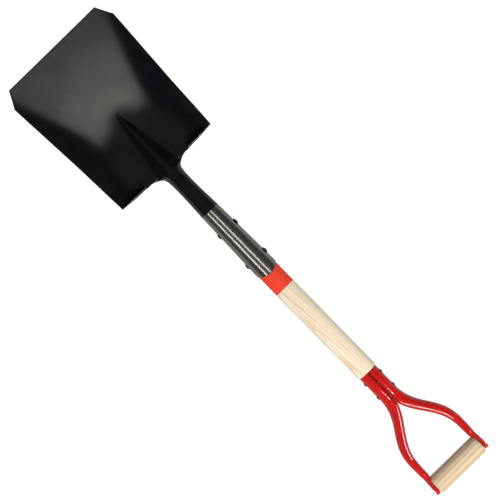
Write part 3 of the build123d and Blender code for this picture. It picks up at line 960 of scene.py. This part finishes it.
def build_yoke_half(name, side):
    stations = [mix(SHAFT_END_S, SEAM_END_S, i / SEAM_ROWS) for i in range(SEAM_ROWS)]
    stations += [mix(SEAM_END_S, HOLLOW_END_S, i / HOLLOW_ROWS) for i in range(HOLLOW_ROWS)]
    hollow_rows = len(stations) + 1
    stations += [mix(HOLLOW_END_S, GRIP_S, i / BEND_ROWS) for i in range(BEND_ROWS)]
    stations += [GRIP_S + EAR_R * math.sin(EAR_TURN * i / EAR_ROWS) for i in range(EAR_ROWS + 1)]
    outer, inner = [], []
    for s in stations:
        for column in range(ARM_COLUMNS):
            angle = 2 * math.pi * column / ARM_COLUMNS
            skin = dish(arm_point(s, angle))
            skin = press_seats(skin, YOKE_RIVETS, YOKE_HEAD_R, lambda at: YOKE_R - SEAT)
            outer.append((skin[0], side * skin[1], skin[2]))
            bore = arm_point(min(s, HOLLOW_END_S), angle, YOKE_T)
            inner.append((bore[0], side * bore[1], bore[2]))

    def open_seam(face):
        """True where the seam's wall is left out for the shaft's tenon."""
        middle = sum((Vector(outer[i]) for i in face), Vector()) / len(face)
        seam = abs(middle.y) < SEAM_REACH and abs(middle.z - AXIS_Z) < SEAM_HALF
        return seam and middle.x < at_station(SEAM_END_S)

    faces = [f for f in grid_faces(ARM_COLUMNS, len(stations), around=True) if not open_seam(f)]
    inner_faces = [f for f in faces if max(f) < hollow_rows * ARM_COLUMNS]
    last = (len(stations) - 1) * ARM_COLUMNS
    faces.append(tuple(last + i for i in range(ARM_COLUMNS)))
    bottom = (hollow_rows - 1) * ARM_COLUMNS
    inner_faces.append(tuple(bottom + i for i in range(ARM_COLUMNS)))
    if side < 0:
        faces = [tuple(reversed(f)) for f in faces]
        inner_faces = [tuple(reversed(f)) for f in inner_faces]
    points, faces, rim = shell(outer, inner, faces, YOKE_ROUND, inner_faces)
    edge = [YOKE_EDGE_DARKENING if i in rim else 0.0 for i in range(len(points))]
    node_name = "yoke_left" if side > 0 else "yoke_right"
    return make_piece(name, points, faces, YOKE_RED, node_name, "yoke_red", edge)


# ---- rivets, grip and rod ----
BEVEL = 0.4  # width of the small bevel under a rivet's head
BEVEL_H = 0.3
DOME_STEPS = 8
RIVET_COLUMNS = 48
UNEVEN = 0.12  # how uneven the hammered heads are


def cross_profile(shank_r, seat_y, head_r, head_h):
    """Profile of a cross rivet from its left tip to its right tip: domed heads on a plain shank."""
    edge_h = head_h / 4
    dome_h = head_h - edge_h
    dome_r = (head_r**2 + dome_h**2) / (2 * dome_h)
    spread = math.asin(head_r / dome_r)
    right = [(seat_y, shank_r), (seat_y, head_r - BEVEL), (seat_y + BEVEL_H, head_r)]
    for i in range(DOME_STEPS + 1):
        angle = spread * (1 - i / DOME_STEPS)
        right.append((seat_y + head_h - dome_r + dome_r * math.cos(angle), dome_r * math.sin(angle)))
    left = [(-y, r) for y, r in reversed(right)]
    return left + right


def build_cross(name, node_name, slot, material, station, sizes, tilt=RIVET_TILT):
    def place(y, radius, angle):
        """Round an axis along Y; the hammered heads are slightly uneven."""
        if radius > 0:
            radius += UNEVEN * noise.noise(Vector((station, y * 0.35, 3 * math.sin(angle))))
        x, z = at_station(station) + radius * math.cos(angle), AXIS_Z - radius * math.sin(angle)
        return turn_about_shaft((x, y, z), tilt)

    points, faces = lathe(cross_profile(*sizes), RIVET_COLUMNS, place)
    faces = [tuple(reversed(f)) for f in faces]
    return make_piece(name, points, faces, material, node_name, slot)


def build_grip():
    bore = ROD_R + CLEAR
    corners = [
        (0.0, bore, 0),
        (-GRIP_HALF, bore, 0.3),
        (-GRIP_HALF, GRIP_R, GRIP_ROUND),
        (GRIP_HALF, GRIP_R, GRIP_ROUND),
        (GRIP_HALF, bore, 0.3),
        (PROFILE_SEAM, bore, 0),
    ]

    def place(y, radius, angle):
        return at_station(GRIP_S) + radius * math.cos(angle), y, AXIS_Z - radius * math.sin(angle)

    points, faces = lathe(bent(corners, 10), ROUND_COLUMNS, place, closed=True)
    faces = [tuple(reversed(f)) for f in faces]
    return make_piece("grip_wood", points, faces, GRIP_WOOD, "grip", "grip_wood")


BLADE = build_blade()
build_band()
build_shaft()
build_grip()
YOKE = [build_yoke_half("yoke_half_left", 1), build_yoke_half("yoke_half_right", -1)]
STEEL_PIECES = [build_collar()]
for place, station in COLLAR_RIVETS.items():
    sizes = (RIVET_R, collar_radius(station) - SEAT, HEAD_R, HEAD_H)
    names = (f"rivet_collar_{place}", f"collar_rivet_{place}", "dark_rivet")
    STEEL_PIECES.append(build_cross(*names, DARK_RIVET, station, sizes))
for place, station in YOKE_RIVETS.items():
    sizes = (RIVET_R, YOKE_R - SEAT, YOKE_HEAD_R, YOKE_HEAD_H)
    names = (f"rivet_yoke_{place}", f"yoke_rivet_{place}", "steel_rivet")
    STEEL_PIECES.append(build_cross(*names, STEEL_RIVET, station, sizes))
rod_sizes = (ROD_R, DISH_Y, ROD_HEAD_R, EAR_HALF - CLEAR - DISH_Y)
rod_names = ("rod_through_grip", "grip_rod", "steel_rivet")
STEEL_PIECES.append(build_cross(*rod_names, STEEL_RIVET, GRIP_S, rod_sizes, tilt=0.0))


# ---- floor, light and camera ----
VIEW_WIDTH = 0.9  # metres seen at the shaft's height
VIEW_CENTRE = (-0.0249, 0.0025)
VIEW_DISTANCE = 2.6
VIEW_TURN = 45.65  # degrees from the picture's right to +X, seen from above
SENSOR = 36.0
CEILING = 3.2  # height of the lights
FLOOR_REACH = 12.0
FLOOR_SIDES = 36
FLOOR_Z = -0.0004  # just under the shovel, so that the two don't share a plane


def staged(name, points, faces, colour, glow):
    """A floor or backdrop of plain pale paper that also glows a little."""
    paper = new_material(f"{name}_paper", Roughness=1.0, Emission_Strength=glow)
    bsdf = paper.node_tree.nodes["Principled BSDF"]
    bsdf.inputs["Base Color"].default_value = (*colour, 1.0)
    bsdf.inputs["Emission Color"].default_value = (*colour, 1.0)
    mesh = bpy.data.meshes.new(name)
    mesh.from_pydata(points, [], faces)
    mesh.materials.append(paper)
    stage = bpy.data.objects.new(name, mesh)
    bpy.context.scene.collection.objects.link(stage)
    stage.visible_glossy = False
    return stage


def make_floor():
    """A round floor, and a wall round it that only the camera sees."""
    angles = [2 * math.pi * i / FLOOR_SIDES for i in range(FLOOR_SIDES)]
    rim = [(FLOOR_REACH * math.cos(a), FLOOR_REACH * math.sin(a), FLOOR_Z) for a in angles]
    staged("floor", rim, [tuple(range(FLOOR_SIDES))], (0.35, 0.35, 0.35), 2.75)
    top = [(x, y, FLOOR_REACH) for x, y, _ in rim]
    walls = [tuple(reversed(face)) for face in grid_faces(FLOOR_SIDES, 2, around=True)]
    wall = staged("backdrop", rim + top, walls, (0.9, 0.9, 0.9), 1.1)
    wall.visible_diffuse = False
    wall.visible_shadow = False


def area_light(name, place, size, watts, target=(0, 0, 0), colour=(1, 1, 1), on=(), sees="both"):
    """A soft rectangular light that faces its target and shines on the given pieces, or on all. It
    is seen in "both" the diffuse and the glossy reflections, or only in the "diffuse" or "glossy"."""
    light = bpy.data.lights.new(name, "AREA")
    light.shape = "RECTANGLE"
    light.size, light.size_y = size
    light.energy = watts
    light.color = colour
    lamp = bpy.data.objects.new(name, light)
    lamp.location = place
    lamp.rotation_euler = (Vector(target) - Vector(place)).to_track_quat("-Z", "Y").to_euler()
    lamp.visible_camera = False
    lamp.visible_glossy = sees != "diffuse"
    lamp.visible_diffuse = sees != "glossy"
    bpy.context.scene.collection.objects.link(lamp)
    if on:
        lit = bpy.data.collections.new(f"{name}_lit")
        for piece in on:
            lit.objects.link(piece)
        lamp.light_linking.receiver_collection = lit


make_floor()
# the main light shapes the matt surfaces; the others are there for the reflections
PAN_GREEN = (0.92, 1.0, 0.86)
area_light("key", (1.5, -0.35, 2.8), (1.6, 1.6), 135, sees="diffuse")
area_light("pan_card", (1.76, 0.0, CEILING), (1.5, 1.6), 195, (1.76, 0, 0), PAN_GREEN, [BLADE])
area_light("step_card", (-2.4, 0.0, 0.25), (0.25, 3.0), 18, (-0.3, 0, 0), on=[BLADE])
area_light("strip_near", (0.2, 0.35, CEILING), (1.8, 0.4), 9, (0.2, 0.35, 0), on=STEEL_PIECES)
area_light("strip_left", (0.2, -2.38, CEILING), (1.8, 0.5), 13, (0.2, 0, 0), on=STEEL_PIECES)
area_light("haze", (0.2, 0.0, CEILING), (2.2, 8.0), 5, (0.2, 0, 0), on=STEEL_PIECES)
for name, side in {"left": 1, "right": -1}.items():
    area_light(f"flank_{name}", (0.2, 4.5 * side, 1.6), (3.0, 2.0), 1.6, (0.2, 0, 0), on=STEEL_PIECES)
    place = (2.2, -2.2 * side, 1.5)
    area_light(f"arm_panel_{name}", place, (1.3, 0.2), 95, (0.4, 0, 0), on=YOKE, sees="glossy")
area_light("lip_panel", (0.86, 0.0, CEILING), (0.22, 0.12), 15, (0.86, 0, 0), on=YOKE, sees="glossy")

world = bpy.data.worlds.new("studio")
world.use_nodes = True
sky = world.node_tree
direction = sky.nodes.new("ShaderNodeTexCoord").outputs["Generated"]
split = sky.nodes.new("ShaderNodeSeparateXYZ")
sky.links.new(direction, split.inputs["Vector"])
ramp = sky.nodes.new("ShaderNodeValToRGB")
sky.links.new(split.outputs["Z"], ramp.inputs["Fac"])
below, above = ramp.color_ramp.elements
below.position, below.color = 0.0, (0.42, 0.42, 0.4, 1.0)
above.position, above.color = 0.1, (0.02, 0.02, 0.026, 1.0)
zenith = ramp.color_ramp.elements.new(0.8)
zenith.color = (0.035, 0.035, 0.04, 1.0)
sky.links.new(ramp.outputs["Color"], sky.nodes["Background"].inputs["Color"])
bpy.context.scene.world = world
bpy.context.scene.view_settings.view_transform = "Standard"

camera_data = bpy.data.cameras.new("camera")
camera_data.sensor_width = SENSOR
camera_data.lens = SENSOR * VIEW_DISTANCE / VIEW_WIDTH
camera = bpy.data.objects.new("camera", camera_data)
camera.location = (*VIEW_CENTRE, AXIS_Z * MM + VIEW_DISTANCE)
camera.rotation_euler = (0, 0, math.radians(VIEW_TURN))
bpy.context.scene.collection.objects.link(camera)
bpy.context.scene.camera = camera
